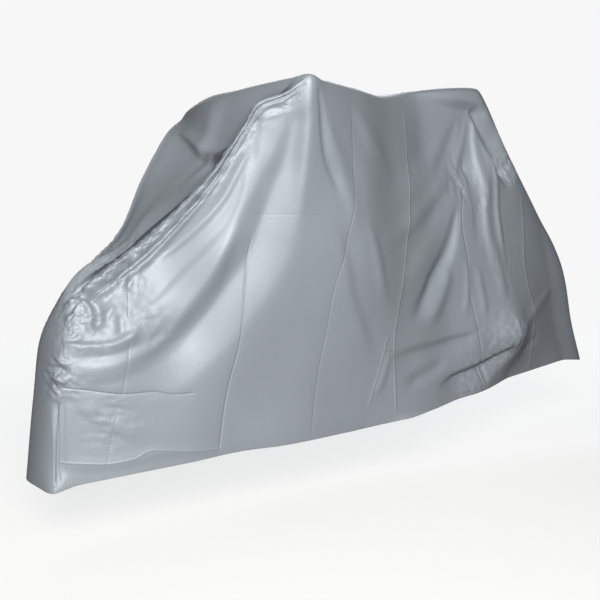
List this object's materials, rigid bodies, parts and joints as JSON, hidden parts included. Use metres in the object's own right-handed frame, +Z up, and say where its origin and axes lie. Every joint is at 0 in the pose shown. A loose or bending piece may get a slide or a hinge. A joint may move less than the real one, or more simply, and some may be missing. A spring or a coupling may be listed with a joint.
{
  "type": "bicycle cover",
  "caption": "Loose sheet cover for a bicycle, hanging open at the bottom from handlebar grips and saddle, with soft folds and a plain welded hem.",
  "frame": {"origin": "underside of the cover's top where it lies on the saddle, in the centre plane", "axes": "+X towards the rear wheel, +Y towards the far side, the cover's right, +Z up"},
  "size_m": [1.8086, 0.5978, 0.8997],
  "materials": {
    "plastic_sheet": "smooth silver-grey plastic sheet with a soft satin shine"
  },
  "bodies": {
    "root": {"cover": "plastic_sheet"}
  },
  "joints": []
}
